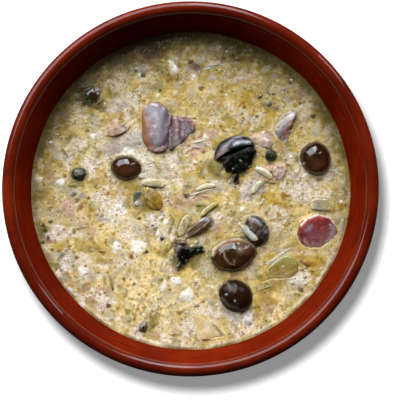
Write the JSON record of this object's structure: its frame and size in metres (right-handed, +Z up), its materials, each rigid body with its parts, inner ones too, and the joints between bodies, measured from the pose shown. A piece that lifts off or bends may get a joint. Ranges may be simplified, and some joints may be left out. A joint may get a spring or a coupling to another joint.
{
  "type": "bowl of solyanka",
  "caption": "Deep round glazed clay bowl holding a cream-coloured soup with olives, mushrooms, smoked meat, sausage, pickles and onion.",
  "frame": {"origin": "on the table, in the middle of the bowl's foot ring", "axes": "+Z up, +Y towards the top of the picture, +X towards its right"},
  "size_m": [0.18, 0.18, 0.064],
  "materials": {
    "clay_glaze": "thick glossy red-brown glaze over turned clay, with faint throwing ribs",
    "broth": "cream-yellow broth, satin wet, full of fine chopped bits, foam and pepper",
    "onion": "glassy cooked onion, wet and half see-through",
    "olive": "wet olive skin, brown-black and very glossy",
    "caper": "dark green wet skin",
    "potato": "boiled potato, soft and moist",
    "smoked_meat": "thin folded slice of smoked meat, grey-lilac, marbled and wet",
    "sausage": "slice of smoked sausage, crimson with pale fat and an orange-red skin",
    "ham": "pale pink boiled ham, moist",
    "mushroom": "slippery black-brown mushroom, lilac where it shines",
    "pickle": "pickled cucumber, olive-yellow, wet"
  },
  "bodies": {
    "root": {"bowl": "clay_glaze", "soup": "broth", "onion_1": "onion", "onion_2": "onion", "onion_3": "onion", "onion_4": "onion", "onion_5": "onion", "onion_6": "onion", "onion_7": "onion", "olive_1": "olive", "olive_2": "olive", "olive_3": "olive", "olive_4": "olive", "olive_5": "olive", "olive_bit": "olive", "caper_1": "caper", "caper_2": "caper", "potato_1": "potato", "meat_1": "smoked_meat", "meat_2": "smoked_meat", "sausage_slice": "sausage", "ham_1": "ham", "ham_2": "ham", "ham_3": "ham", "mushroom_1": "mushroom", "mushroom_2": "mushroom", "mushroom_3": "mushroom", "mushroom_4": "mushroom", "mushroom_5": "mushroom", "mushroom_stem": "mushroom", "pickle_1": "pickle", "pickle_2": "pickle", "pickle_3": "pickle", "pickle_4": "pickle", "pickle_5": "pickle"}
  },
  "joints": []
}
